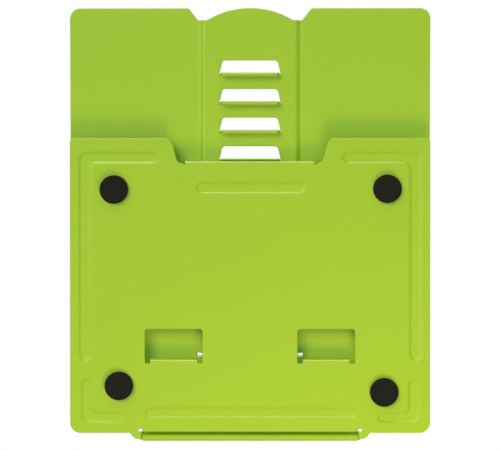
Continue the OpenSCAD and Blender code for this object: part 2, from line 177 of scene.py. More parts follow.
def hinged(axis: Point, tilt: float) -> Placement:
    """Makes a placement for a piece drawn about its own hinge axis.

    Args:
        axis: Plan distance and height of the hinge axis.
        tilt: Rest angle about the axis, in degrees.

    Returns:
        A function from drawing points to the model's frame.
    """
    turn = Matrix.Rotation(math.radians(tilt), 3, "X")

    def place(point: Vector) -> Vector:
        """Turns and moves one point."""
        return in_frame(turn @ point + Vector((0.0, *axis)))

    return place


def flipped(corners: Sequence[Corner]) -> list[Corner]:
    """Mirrors an outline to the other side, kept anticlockwise."""
    return [Corner(-c.x, c.y, c.r) for c in reversed(corners)]


def mirrored(half: Sequence[Corner], middle: Sequence[Corner] = ()) -> list[Corner]:
    """Joins one half of an outline to its mirror image.

    Args:
        half: Corners of the right half, anticlockwise.
        middle: Corners on the line of symmetry that follow the half.

    Returns:
        The whole outline, anticlockwise.
    """
    return [*half, *middle, *flipped(half)]


def turnings(corners: Sequence[Corner]) -> Iterator[tuple[Corner, Vector, Vector, float]]:
    """Goes round an outline.

    Args:
        corners: The outline.

    Yields:
        Each corner, the directions of the edges before and after it, and the turn between
        them in radians, left when positive.
    """
    spots = [Vector((c.x, c.y)) for c in corners]
    for i, corner in enumerate(corners):
        into = (spots[i] - spots[i - 1]).normalized()
        out = (spots[(i + 1) % len(spots)] - spots[i]).normalized()
        yield corner, into, out, math.atan2(into.x * out.y - into.y * out.x, into.dot(out))


def inset(corners: Sequence[Corner], depth: float) -> list[Corner]:
    """Moves every edge of an anticlockwise outline inwards.

    Args:
        corners: The outline.
        depth: Distance inwards, or outwards when negative.

    Returns:
        The moved outline, with its radii grown or shrunk to stay parallel.
    """
    moved = []
    for corner, into, out, turn in turnings(corners):
        shift = (into.orthogonal() + out.orthogonal()) * depth / (1.0 + into.dot(out))
        r = corner.r - depth if turn > 0.0 else corner.r + depth
        moved.append(Corner(
            corner.x + shift.x, corner.y + shift.y, max(r, LEAST_R) if corner.r else 0.0))
    return moved


def rounded(corners: Sequence[Corner]) -> list[Point]:
    """Draws an outline with arcs at its rounded corners.

    Args:
        corners: The outline.

    Returns:
        Points along the outline. Parallel outlines give the same number of points.
    """
    points: list[Point] = []
    for corner, into, _, turn in turnings(corners):
        if not corner.r:
            points.append((corner.x, corner.y))
            continue
        set_back = corner.r * math.tan(abs(turn) / 2)
        start = Vector((corner.x, corner.y)) - into * set_back
        centre = start + into.orthogonal() * math.copysign(1.0, turn) * corner.r
        spoke = start - centre
        pieces = max(2, math.ceil(round(math.degrees(abs(turn)) / ARC_STEP, 3)))
        for k in range(pieces + 1):
            arm = Matrix.Rotation(turn * k / pieces, 2) @ spoke
            points.append((centre.x + arm.x, centre.y + arm.y))
    return points


def bent_path(bends: Sequence[Bend], start: Point, heading: float) -> list[Point]:
    """Draws the middle of a bent sheet seen edge on.

    Args:
        bends: Straight runs and bends, in order.
        start: First point.
        heading: First direction, in degrees.

    Returns:
        Points along the middle of the sheet.
    """
    path = [start]
    at = Vector(start)
    for bend in bends:
        way = Vector((math.cos(math.radians(heading)), math.sin(math.radians(heading))))
        if bend.run:
            at = at + way * bend.run
            path.append((at.x, at.y))
        if not bend.turn:
            continue
        side = math.copysign(1.0, bend.turn)
        centre = at + way.orthogonal() * side * (bend.r + STOCK.half)
        spoke = at - centre
        pieces = math.ceil(abs(bend.turn) / BEND_STEP)
        for k in range(1, pieces + 1):
            at = centre + Matrix.Rotation(math.radians(bend.turn) * k / pieces, 2) @ spoke
            path.append((at.x, at.y))
        heading += bend.turn
    return path


def creased(
    outer: Sequence[Point],
    inner: Sequence[Point],
    creases: Sequence[float],
) -> tuple[list[Point], list[Point]]:
    """Adds points to two parallel loops where they cross the creases of a plate.

    Args:
        outer: Points of one loop.
        inner: As many points of the other.
        creases: Distances from the middle of the crease lines.

    Returns:
        Both loops, still with as many points as each other.
    """
    def crossings(a: Point, b: Point) -> dict[float, float]:
        """Finds where the creases cross a stretch.

        Args:
            a: Start of the stretch.
            b: End of the stretch.

        Returns:
            The share of the stretch before each crease that crosses it.
        """
        if a[0] == b[0]:
            return {}
        shares = {x: (x - a[0]) / (b[0] - a[0]) for x in creases}
        return {x: t for x, t in shares.items() if TINY < t < 1.0 - TINY}

    loops: tuple[list[Point], list[Point]] = ([], [])
    for i in range(len(outer)):
        k = (i + 1) % len(outer)
        found = [crossings(loop[i], loop[k]) for loop in (outer, inner)]
        for n, (loop, grown) in enumerate(zip((outer, inner), loops)):
            (ax, ay), (bx, by) = loop[i], loop[k]
            shares = sorted({**found[1 - n], **found[n]}.values())
            grown.append((ax, ay))
            grown.extend((ax + (bx - ax) * t, ay + (by - ay) * t) for t in shares)
    return loops


def inside(points: np.ndarray, loop: Sequence[Point]) -> np.ndarray:
    """Tells which points lie inside a closed loop.

    Args:
        points: Places to test, one row each.
        loop: Corners of the loop.

    Returns:
        True for each point inside.
    """
    x, y = points[:, 0], points[:, 1]
    found = np.zeros(len(points), bool)
    for (ax, ay), (bx, by) in zip(loop, [*loop[1:], loop[0]]):
        if ay == by:
            continue
        crosses = (ay > y) != (by > y)
        found ^= crosses & (x < (bx - ax) * (y - ay) / (by - ay) + ax)
    return found


@dataclass(frozen=True)
class Rib:
    """Stiffening rib pressed into a sheet, with softly rounded walls.

    The profile gives the share of the depth at each distance inwards from the mouth.
    """

    mouth: tuple[Corner, ...]
    depth: float = 1.1
    profile: tuple[Point, ...] = (
        (-1.25, 0.0), (-0.8, 0.0), (-0.4, 0.07), (-0.05, 0.24), (0.3, 0.48),
        (0.65, 0.73), (1.0, 0.92), (1.35, 1.0), (1.8, 1.0),
    )

    def contours(self) -> list[tuple[list[Point], float]]:
        """Draws level lines round the rib, each with its height above the flat sheet."""
        return [(rounded(inset(self.mouth, d)), h * self.depth) for d, h in self.profile]


def bar_rib(half_x: float, half_y: float, y: float) -> Rib:
    """Makes a straight rib with round ends.

    Args:
        half_x: Half its size across the stand.
        half_y: Half its size along the stand.
        y: Plan distance of its middle.

    Returns:
        The rib.
    """
    r = min(half_x, half_y) - END_FLAT
    right = [Corner(half_x, y - half_y, r), Corner(half_x, y + half_y, r)]
    return Rib(tuple(mirrored(right)))


@dataclass(frozen=True)
class AngleRib:
    """Rib with one bend near a corner of the base, and its twin on the other side.

    The ends are the distance across of one end and the plan distance of the other, and the
    radii are those of the bend's inner and outer corners.
    """

    half: float
    bend: Point
    ends: Point
    radii: Point

    def pair(self) -> list[Rib]:
        """Draws the rib on both sides.

        Returns:
            The right rib and the left one.
        """
        w = self.half
        x, y = self.bend
        end_x, end_y = self.ends
        inner_r, outer_r = self.radii
        end_r = w - END_FLAT
        out = math.copysign(w, y - end_y)
        right = [
            Corner(end_x - w, y - out, end_r), Corner(x - w, y - out, inner_r),
            Corner(x - w, end_y - out, end_r), Corner(x + w, end_y - out, end_r),
            Corner(x + w, y + out, outer_r), Corner(end_x - w, y + out, end_r),
        ]
        if out < 0.0:
            right.reverse()
        return [Rib(tuple(right)), Rib(tuple(flipped(right)))]


def level(_x: float) -> float:
    """Height of a flat sheet."""
    return 0.0


def linked(name: str, data: bpy.types.ID) -> bpy.types.Object:
    """Makes an object and puts it in the scene.

    Args:
        name: Name of the object.
        data: Its mesh, lamp or camera.

    Returns:
        The object.
    """
    made = bpy.data.objects.new(name, data)
    bpy.context.scene.collection.objects.link(made)
    return made


def shown(mesh: bmesh.types.BMesh, name: str) -> bpy.types.Object:
    """Makes an object with smooth faces from a working mesh, which is freed.

    Args:
        mesh: The working mesh.
        name: Name of the object.

    Returns:
        The object.
    """
    for face in mesh.faces:
        face.smooth = True
    data = bpy.data.meshes.new(name)
    mesh.to_mesh(data)
    mesh.free()
    return linked(name, data)


class Linework:
    """Lines that a plate's triangles follow."""

    def __init__(self) -> None:
        """Starts without lines."""
        self.points: list[Vector] = []
        self.edges: list[tuple[int, int]] = []
        self.lifts: dict[int, float] = {}

    def add(self, line: Sequence[Point], closed: bool = True, lift: float | None = None) -> None:
        """Adds one line.

        Args:
            line: Its points.
            closed: Whether its end is joined to its start.
            lift: Its height above the flat sheet, where it has its own.
        """
        first = len(self.points)
        self.points.extend(Vector(p) for p in line)
        self.edges.extend((first + i, first + i + 1) for i in range(len(line) - 1))
        if closed:
            self.edges.append((len(self.points) - 1, first))
        if lift is not None:
            self.lifts.update((first + i, lift) for i in range(len(line)))

    def lift(self, origin: Sequence[int]) -> float | None:
        """Height of a point that stands for the given points of the lines, if they have one."""
        return next((self.lifts[i] for i in origin if i in self.lifts), None)


class PressedSheet:
    """Middle surface of one pressing, joined from flat plates and bent strips."""

    def __init__(
        self,
        place: Placement = in_frame,
        band: float = STOCK.edge_band,
        mesh: bmesh.types.BMesh | None = None,
    ) -> None:
        """Starts a pressing, or goes on with one in another plane.

        Args:
            place: Function that moves drawing points to the model's frame.
            band: Width of the even band of faces along every edge.
            mesh: Working mesh to add to, when it isn't a new one.
        """
        self.place = place
        self.band = band
        self.mesh = bmesh.new() if mesh is None else mesh

    def vert(self, x: float, y: float, z: float) -> bmesh.types.BMVert:
        """Adds one drawing point."""
        return self.mesh.verts.new(self.place(Vector((x, y, z))))

    def plate(
        self,
        edge: Sequence[Corner],
        height: float,
        holes: Sequence[Sequence[Corner]] = (),
        ribs: Sequence[Rib] = (),
        creases: Sequence[float] = (),
        rise: Callable[[float], float] = level,
    ) -> None:
        """Adds a plate with holes, ribs and creases.

        Args:
            edge: Outer outline, anticlockwise.
            height: Height of the flat sheet.
            holes: Outlines of the holes, anticlockwise.
            ribs: Ribs pressed into the plate.
            creases: Distances from the middle of lines along the plate where its height changes.
            rise: Height above the flat sheet at a distance from the middle.
        """
        lines = Linework()
        loops = []
        for corners, depth in [(edge, self.band), *((hole, -self.band) for hole in holes)]:
            outer, inner = creased(rounded(corners), rounded(inset(corners, depth)), creases)
            self.ring(outer, inner, height, rise)
            lines.add(inner)
            loops.append(inner)
        for rib in ribs:
            for loop, lift in rib.contours():
                lines.add(loop, lift=lift)
        low = min(y for _, y in loops[0]) - OVERHANG
        high = max(y for _, y in loops[0]) + OVERHANG
        for x in creases:
            lines.add([(x, low), (x, high)], closed=False)
        spots, _, faces, origins, *_ = delaunay_2d_cdt(lines.points, lines.edges, [], 0, TINY)
        middles = np.array([sum((spots[i] for i in f), Vector((0, 0))) / len(f) for f in faces])
        keep = inside(middles, loops[0])
        for hole in loops[1:]:
            keep &= ~inside(middles, hole)
        verts = []
        for spot, origin in zip(spots, origins):
            lift = lines.lift(origin)
            verts.append(self.vert(*spot, height + (rise(spot.x) if lift is None else lift)))
        for face, kept in zip(faces, keep):
            if kept:
                self.mesh.faces.new([verts[i] for i in face])

    def ring(
        self,
        outer: Sequence[Point],
        inner: Sequence[Point],
        height: float,
        rise: Callable[[float], float],
    ) -> None:
        """Adds the even band of sheet along an edge.

        Args:
            outer: Points on the edge.
            inner: As many points beside them.
            height: Height of the flat sheet.
            rise: Height above the flat sheet at a distance from the middle.
        """
        rows = [[self.vert(x, y, height + rise(x)) for x, y in loop] for loop in (outer, inner)]
        for i in range(len(outer)):
            k = (i + 1) % len(outer)
            self.mesh.faces.new([rows[0][i], rows[0][k], rows[1][k], rows[1][i]])

    def strip(
        self,
        section: Sequence[Point],
        lines: Sequence[float],
        sweep: Sweep = Sweep.ACROSS,
        widen: Callable[[Point], float] | None = None,
    ) -> None:
        """Adds a bent strip drawn out from an edge-on section.

        Args:
            section: Points along the middle of the sheet.
            lines: Places of the strip's long lines.
            sweep: Direction in which the section is drawn out.
            widen: Factor on those places at a point of the section, when they change.
        """
        rows = []
        for u, v in section:
            factor = widen((u, v)) if widen else 1.0
            places = [c * factor for c in lines]
            if sweep is Sweep.ACROSS:
                rows.append([self.vert(c, u, v) for c in places])
            else:
                rows.append([self.vert(u, c, v) for c in places])
        for low, high in zip(rows, rows[1:]):
            for j in range(len(lines) - 1):
                self.mesh.faces.new([low[j], low[j + 1], high[j + 1], high[j]])

    def surface(self, name: str) -> bpy.types.Object:
        """Joins the parts of the surface into one object.

        Args:
            name: Name of the object.

        Returns:
            The object, still without thickness.
        """
        bmesh.ops.remove_doubles(self.mesh, verts=self.mesh.verts, dist=WELD * MM)
        loose = [v for v in self.mesh.verts if not v.link_faces]
        bmesh.ops.delete(self.mesh, geom=loose, context="VERTS")
        bmesh.ops.recalc_face_normals(self.mesh, faces=self.mesh.faces)
        return shown(self.mesh, name)

    def solid(self, name: str) -> bpy.types.Object:
        """Gives the joined surface its thickness and rounded rims.

        Args:
            name: Name of the piece.

        Returns:
            The finished piece.
        """
        made = self.surface(name)
        wall = made.modifiers.new("sheet", "SOLIDIFY")
        wall.thickness = STOCK.thickness * MM
        wall.offset = 0.0
        wall.use_even_offset = True
        wall.use_quality_normals = True
        rim = made.modifiers.new("rim", "BEVEL")
        rim.width = STOCK.rim_r * MM
        rim.segments = STOCK.rim_steps
        rim.limit_method = "ANGLE"
        rim.angle_limit = math.radians(STOCK.rim_angle)
        rim.use_clamp_overlap = False
        rim.loop_slide = False
        rim.harden_normals = True
        return made


class NodeKit:
    """Short ways to add, set and join nodes in one tree."""

    def __init__(self, tree: bpy.types.NodeTree) -> None:
        """Keeps the tree that nodes go into."""
        self.tree = tree

    def fill(self, node: bpy.types.Node, values: dict[str, object]) -> None:
        """Sets a node's inputs by name."""
        for name, value in values.items():
            node.inputs[name].default_value = value

    def add(
        self,
        kind: str,
        values: dict[str, object] | None = None,
        **settings: object,
    ) -> bpy.types.Node:
        """Adds a node.

        Args:
            kind: Blender's name for the node.
            values: Its inputs by name.
            **settings: Properties to set on it first.

        Returns:
            The node.
        """
        made = self.tree.nodes.new(kind)
        for name, value in settings.items():
            setattr(made, name, value)
        self.fill(made, values or {})
        return made

    def join(self, *links: Link) -> None:
        """Joins nodes, each link given as a node, its output, the next node and its input."""
        for source, output, target, entry in links:
            self.tree.links.new(source.outputs[output], target.inputs[entry])


def new_group(
    name: str,
    kind: str,
    inputs: dict[str, str],
    outputs: dict[str, str],
) -> tuple[NodeKit, bpy.types.Node, bpy.types.Node]:
    """Starts a node group with named sockets.

    Args:
        name: Name of the group.
        kind: Type of tree.
        inputs: Short socket types by input name.
        outputs: Short socket types by output name.

    Returns:
        A kit for the group, and the nodes for its inputs and its outputs.
    """
    group = bpy.data.node_groups.new(name, kind)
    for direction, sockets in (("INPUT", inputs), ("OUTPUT", outputs)):
        for label, short in sockets.items():
            group.interface.new_socket(
                name=label, in_out=direction, socket_type=f"NodeSocket{short}")
    kit = NodeKit(group)
    return kit, kit.add("NodeGroupInput"), kit.add("NodeGroupOutput")


class Grain:
    """Shader groups that the finishes share: fine relief and soft changes of tint."""

    def __init__(self) -> None:
        """Builds both groups."""
        self.relief = self.build_relief()
        self.tint = self.build_tint()

    def build_relief(self) -> bpy.types.NodeTree:
        """Builds the fine relief of a coated or moulded surface.

        Returns:
            A group that gives a height and a softened mask.
        """
        kit, source, result = new_group(
            "fine_relief", "ShaderNodeTree",
            {"Vector": "Vector", "Scale": "Float", "Roughness": "Float"},
            {"Height": "Float", "Mask": "Float"})
        noise = kit.add("ShaderNodeTexNoise", {"Detail": 3.0}, noise_dimensions="3D")
        soften = kit.add(
            "ShaderNodeMapRange", {"From Min": 0.3, "From Max": 0.7}, interpolation_type="SMOOTHSTEP")
        kit.join(
            (source, "Vector", noise, "Vector"),
            (source, "Scale", noise, "Scale"),
            (source, "Roughness", noise, "Roughness"),
            (noise, "Fac", soften, "Value"),
            (noise, "Fac", result, "Height"),
            (soften, "Result", result, "Mask"),
        )
        return kit.tree

    def build_tint(self) -> bpy.types.NodeTree:
        """Builds a slow change between two shades of one colour.

        Returns:
            A group that gives a colour.
        """
        kit, source, result = new_group(
            "soft_tint", "ShaderNodeTree",
            {"Vector": "Vector", "Scale": "Float", "Light": "Color", "Deep": "Color"},
            {"Color": "Color"})
        noise = kit.add("ShaderNodeTexNoise", {"Detail": 2.0}, noise_dimensions="3D")
        mix = kit.add("ShaderNodeMix", data_type="RGBA")
        kit.join(
            (source, "Vector", noise, "Vector"),
            (source, "Scale", noise, "Scale"),
            (noise, "Fac", mix, "Factor"),
            (source, "Light", mix, "A"),
            (source, "Deep", mix, "B"),
            (mix, "Result", result, "Color"),
        )
        return kit.tree


@dataclass(frozen=True)
class Finish:
    """Surface finish, with its own tint, relief and gloss."""

    name: str
    light: Triple
    deep: Triple
    tint_scale: float
    relief_scale: float
    relief_height: float
    roughness: Point
    metallic: float = 0.0
    specular: float = 0.5
    relief_detail: float = 0.55
    stretch: Triple = (1.0, 1.0, 1.0)

    def material(self, grain: Grain) -> bpy.types.Material:
        """Builds the finish.

        Args:
            grain: The shared shader groups.

        Returns:
            A procedural material.
        """
        made = bpy.data.materials.new(self.name)
        made.use_nodes = True
        kit = NodeKit(made.node_tree)
        shader = made.node_tree.nodes["Principled BSDF"]
        kit.fill(shader, {"Metallic": self.metallic, "Specular IOR Level": self.specular})
        place = kit.add("ShaderNodeTexCoord")
        mapping = kit.add("ShaderNodeMapping", {"Scale": self.stretch})
        shades = {"Scale": self.tint_scale, "Light": (*self.light, 1.0), "Deep": (*self.deep, 1.0)}
        tint = kit.add("ShaderNodeGroup", shades, node_tree=grain.tint)
        bumps = {"Scale": self.relief_scale, "Roughness": self.relief_detail}
        relief = kit.add("ShaderNodeGroup", bumps, node_tree=grain.relief)
        smooth, rough = self.roughness
        gloss = kit.add("ShaderNodeMapRange", {"To Min": smooth, "To Max": rough})
        bump = kit.add("ShaderNodeBump", {"Strength": 1.0, "Distance": self.relief_height * MM})
        kit.join(
            (place, "Object", mapping, "Vector"),
            (mapping, "Vector", tint, "Vector"),
            (mapping, "Vector", relief, "Vector"),
            (relief, "Mask", gloss, "Value"),
            (relief, "Height", bump, "Height"),
            (tint, "Color", shader, "Base Color"),
            (gloss, "Result", shader, "Roughness"),
            (bump, "Normal", shader, "Normal"),
        )
        return made


LIME_COAT = Finish(
    "lime_coat", (0.388, 0.592, 0.006), (0.372, 0.570, 0.005), 14.0, 850.0, 0.0015, (0.27, 0.33))
BLACK_RUBBER = Finish(
    "black_foam_rubber", (0.026, 0.0245, 0.021), (0.0, 0.0, 0.0), 1100.0, 900.0, 0.30, (0.75, 0.95),
    specular=0.1)
BRIGHT_PLATE = Finish(
    "bright_plate", (0.80, 0.81, 0.82), (0.70, 0.71, 0.72), 300.0, 1400.0, 0.006, (0.14, 0.26),
    metallic=1.0, stretch=(0.04, 1.0, 1.0))
GLUE_DISC = Finish(
    "glue_disc", (0.72, 0.72, 0.68), (0.62, 0.62, 0.58), 400.0, 900.0, 0.02, (0.6, 0.8))


class Finishes:
    """All the stand's materials, built once."""

    def __init__(self) -> None:
        """Builds the shared groups and each material."""
        grain = Grain()
        self.paint = LIME_COAT.material(grain)
        self.rubber = BLACK_RUBBER.material(grain)
        self.steel = BRIGHT_PLATE.material(grain)
        self.adhesive = GLUE_DISC.material(grain)


def dress(piece: bpy.types.Object, material: bpy.types.Material) -> None:
    """Gives a piece one material in place of any that it has."""
    piece.data.materials.clear()
    piece.data.materials.append(material)


def seat(
    piece: bpy.types.Object,
    material: bpy.types.Material,
    body: Body,
    nodes: Sequence[str],
) -> None:
    """Dresses a finished piece and ties it to the part.

    Args:
        piece: The finished piece.
        material: Its material.
        body: Body that it moves with.
        nodes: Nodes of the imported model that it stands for.
    """
    dress(piece, material)
    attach(piece, body.value)
    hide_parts(*nodes)
    LOG.info("%s: %d points on %s", piece.name, len(piece.data.vertices), body.value)


def repeat_tree(name: str, in_row: bool) -> bpy.types.NodeTree:
    """Builds a tree that repeats one shape, in a row or at the host's own points.

    Args:
        name: Name of the tree.
        in_row: True for a row with a count and a pitch.

    Returns:
        The tree.
    """
    inputs = {"Geometry": "Geometry", "Shape": "Object", "Material": "Material"}
    if in_row:
        inputs.update({"Count": "Int", "Pitch": "Float"})
    kit, source, result = new_group(name, "GeometryNodeTree", inputs, {"Geometry": "Geometry"})
    shape = kit.add("GeometryNodeObjectInfo", transform_space="ORIGINAL")
    copies = kit.add("GeometryNodeInstanceOnPoints")
    real = kit.add("GeometryNodeRealizeInstances")
    coat = kit.add("GeometryNodeSetMaterial")
    if in_row:
        line = kit.add("GeometryNodeMeshLine", mode="OFFSET")
        pitch = kit.add("ShaderNodeCombineXYZ")
        kit.join(
            (source, "Pitch", pitch, "Y"),
            (source, "Count", line, "Count"),
            (pitch, "Vector", line, "Offset"),
            (line, "Mesh", copies, "Points"),
        )
    else:
        kit.join((source, "Geometry", copies, "Points"))
    kit.join(
        (source, "Shape", shape, "Object"),
        (shape, "Geometry", copies, "Instance"),
        (copies, "Instances", real, "Geometry"),
        (real, "Geometry", coat, "Geometry"),
        (source, "Material", coat, "Material"),
        (coat, "Geometry", result, "Geometry"),
    )
    return kit.tree


def repeated(
    shape: bpy.types.Object,
    spots: bpy.types.Mesh,
    tree: bpy.types.NodeTree,
    values: dict[str, object],
) -> bpy.types.Mesh:
    """Repeats a shape with a geometry tree and keeps the result as a plain mesh.

    Args:
        shape: Object to repeat, which is removed afterwards.
        spots: Mesh that the tree runs on.
        tree: The geometry tree.
        values: The tree's other inputs by name.

    Returns:
        The plain mesh.
    """
    host = linked(tree.name, spots)
    carrier = host.modifiers.new("repeat", "NODES")
    carrier.node_group = tree
    known = {"Shape": shape, **values}
    for item in tree.interface.items_tree:
        if item.in_out == "INPUT" and item.name in known:
            carrier[item.identifier] = known[item.name]
    ready = bpy.context.evaluated_depsgraph_get()
    mesh = bpy.data.meshes.new_from_object(host.evaluated_get(ready))
    for spare in (host, shape):
        bpy.data.objects.remove(spare)
    return mesh


@dataclass
class BasePlate:
    """Base of the stand: ribbed plate with windows, hinge brackets, rear flange and front ears."""

    width: float = 227.0
    depth: float = 186.0
    front_r: float = 6.5
    rear_r: float = 3.0
    window_x: float = 48.1
    window_w: float = 36.2
    window_d: float = 21.6
    window_y: float = 43.95
    window_r: float = 2.0
    lip_w: float = 29.9
    lip_bend_r: float = 1.6
    lip_h: float = 1.4
    # Ends of a bracket across, the start of its section, and its runs along the base and up.
    bracket_ends: Point = (17.5, 28.6)
    bracket_foot: Point = (39.35, 5.0)
    bracket_runs: Point = (6.0, 5.0)
    # The notch's foot, then its half widths and radii at the foot and at the mouth.
    notch_y: float = 170.3
    notch_half: Point = (45.5, 49.8)
    notch_r: Point = (3.6, 5.0)
    relief_half: float = 42.0
    relief_d: float = 0.6
    flange_half: float = 41.0
    flange_bend_r: float = 0.6
    flange_bend_y: float = 169.8
    flange_rise: float = 5.35
    # Runs of the flange's forward shelf, in front of the prop's knuckle and beside it.
    shelf: Point = (3.3, 5.5)
    knuckle_room: float = 14.9
    lug_x: float = 68.2
    slit_w: float = 0.9
    slit_y: float = 2.6
    ear_w: float = 6.3
    ear_reach: float = 3.8
    # Corners of an ear's curve, inwards from its outer end and back from its tip, with radii.
    ear_curve: tuple[Triple, ...] = ((3.4, 0.0, 2.0), (1.5, 1.6, 2.5))
    edge_set_back: float = 0.8
    eye_r: float = 1.95
    # Directions from the rod to the points of the eye's round edge, in degrees.
    eye_arc: range = range(90, 241, 15)
    eye_corner_r: float = 0.6
    eye_band: float = 0.5
    rear_rib: AngleRib = AngleRib(3.7, (104.2, 173.6), (62.0, 49.4), (3.6, 5.6))
    front_rib: AngleRib = AngleRib(3.35, (103.2, 9.9), (83.8, 30.6), (3.2, 5.0))
    # Half length between the round ends of a middle rib, and its plan distance.
    rear_bar: Point = (30.3, 154.7)
    front_bar: Point = (63.0, 12.9)

    def outline(self) -> list[Corner]:
        """Draws the plate's outline.

        Returns:
            Its corners, anticlockwise.
        """
        slit_x = self.lug_x - self.slit_w
        ear_x = self.lug_x + STOCK.bend_out
        ear_end = self.lug_x + STOCK.thickness + self.ear_w
        side = self.width / 2
        foot, mouth = self.notch_half
        foot_r, mouth_r = self.notch_r
        relief_y = self.flange_bend_y - self.relief_d
        return mirrored([
            Corner(slit_x, self.edge_set_back),
            Corner(slit_x, self.slit_y),
            Corner(ear_x, self.slit_y),
            Corner(ear_x, self.edge_set_back),
            Corner(ear_x, -self.ear_reach),
            *(Corner(ear_end - x, y - self.ear_reach, r) for x, y, r in self.ear_curve),
            Corner(ear_end, 0.0),
            Corner(side, 0.0, self.front_r),
            Corner(side, self.depth, self.rear_r),
            Corner(mouth, self.depth, mouth_r),
            Corner(foot, self.notch_y, foot_r),
            Corner(self.relief_half, self.notch_y),
            Corner(self.relief_half, relief_y),
            Corner(self.flange_half, relief_y),
            Corner(self.flange_half, self.flange_bend_y),
            Corner(self.knuckle_room, self.flange_bend_y),
        ])

    def window(self, side: int) -> list[Corner]:
        """Draws one of the windows in front of the back plate.

        Args:
            side: 1 for the right window and -1 for the left one.

        Returns:
            Its corners, anticlockwise.
        """
        x = side * self.window_x
        half = self.window_w / 2
        top = self.window_y + self.window_d
        return [
            Corner(x - half, self.window_y),
            Corner(x - self.lip_w / 2, self.window_y),
            Corner(x + self.lip_w / 2, self.window_y),
            Corner(x + half, self.window_y),
            Corner(x + half, top, self.window_r),
            Corner(x - half, top, self.window_r),
        ]

    def ribs(self) -> list[Rib]:
        """Lays out the pressed ribs.

        Returns:
            Corner ribs on both sides and the two middle ribs.
        """
        bars = []
        for w, (half, y) in ((self.rear_rib.half, self.rear_bar), (self.front_rib.half, self.front_bar)):
            bars.append(bar_rib(half + w, w, y))
        return [*self.rear_rib.pair(), *self.front_rib.pair(), *bars]

    def add_window_lips(self, sheet: PressedSheet) -> None:
        """Bends a lip up along the front edge of each window.

        Args:
            sheet: The base's sheet.
        """
        section = bent_path(
            [Bend(0.0, 90.0, self.lip_bend_r), Bend(self.lip_h)], (self.window_y, STOCK.base_mid), 0.0)
        for side in SIDES:
            middle = side * self.window_x
            sheet.strip(section, (middle - self.lip_w / 2, middle + self.lip_w / 2))

    def add_hinge_brackets(self, sheet: PressedSheet) -> None:
        """Adds the two brackets on the base that are rolled over the back hinge rod.

        Args:
            sheet: The base's sheet.
        """
        foot, rise = self.bracket_runs
        section = bent_path(
            [Bend(foot, 90.0), Bend(rise, -STOCK.roll_angle, STOCK.roll_r)], self.bracket_foot, 0.0)
        for side in SIDES:
            sheet.strip(section, [side * x for x in self.bracket_ends])

    def add_flange(self, sheet: PressedSheet) -> None:
        """Bends the rear flange up and forward, and rolls its two ends round the prop's hinge rod.

        Args:
            sheet: The base's sheet.
        """
        near, far = self.shelf
        wall = bent_path(
            [Bend(0.0, 90.0, self.flange_bend_r), Bend(self.flange_rise, 90.0), Bend(near)],
            (self.flange_bend_y, STOCK.base_mid), 0.0)
        roll = bent_path([Bend(far, STOCK.roll_angle, STOCK.roll_r)], wall[-1], 180.0)
        left, right = (-self.flange_half, -self.knuckle_room), (self.knuckle_room, self.flange_half)
        sheet.strip(wall, (*left, *right))
        for ends in (left, right):
            sheet.strip(roll, ends)

    def add_front_lugs(self, sheet: PressedSheet) -> None:
        """Bends up the two eyes that hold the page stop's rod.

        Args:
            sheet: The base's sheet.
        """
        y, z = STOCK.stop_axis
        foot = STOCK.base_z + STOCK.thickness + STOCK.bend_r
        front, rear = -self.ear_reach, self.edge_set_back
        arc = [math.radians(a) for a in self.eye_arc]
        eye = [
            Corner(front, foot), Corner(rear, foot), Corner(rear, z + self.eye_r, self.eye_corner_r),
            *(Corner(y + self.eye_r * math.cos(a), z + self.eye_r * math.sin(a)) for a in arc),
        ]
        for side in SIDES:
            start = (side * (self.lug_x + STOCK.bend_out), STOCK.base_mid)
            bend = bent_path([Bend(0.0, -90.0 * side)], start, 90.0 + 90.0 * side)
            sheet.strip(bend, (front, rear), Sweep.ALONG)
            wall = PressedSheet(self.eye_place(side), self.eye_band, sheet.mesh)
            wall.plate(eye, 0.0)

    def eye_place(self, side: int) -> Placement:
        """Makes the placement of a front eye, drawn in its own plane, on the right for side 1."""
        x = side * (self.lug_x + STOCK.half)
        return lambda p: in_frame(Vector((x, p.x, p.y)))

    def build(self, finishes: Finishes) -> None:
        """Builds and dresses the base plate.

        Args:
            finishes: The stand's materials.
        """
        sheet = PressedSheet()
        windows = [self.window(side) for side in SIDES]
        sheet.plate(self.outline(), STOCK.base_mid, windows, self.ribs())
        self.add_window_lips(sheet)
        self.add_hinge_brackets(sheet)
        self.add_flange(sheet)
        self.add_front_lugs(sheet)
        seat(sheet.solid("base_pressing"), finishes.paint, Body.BASE, ["base_plate"])


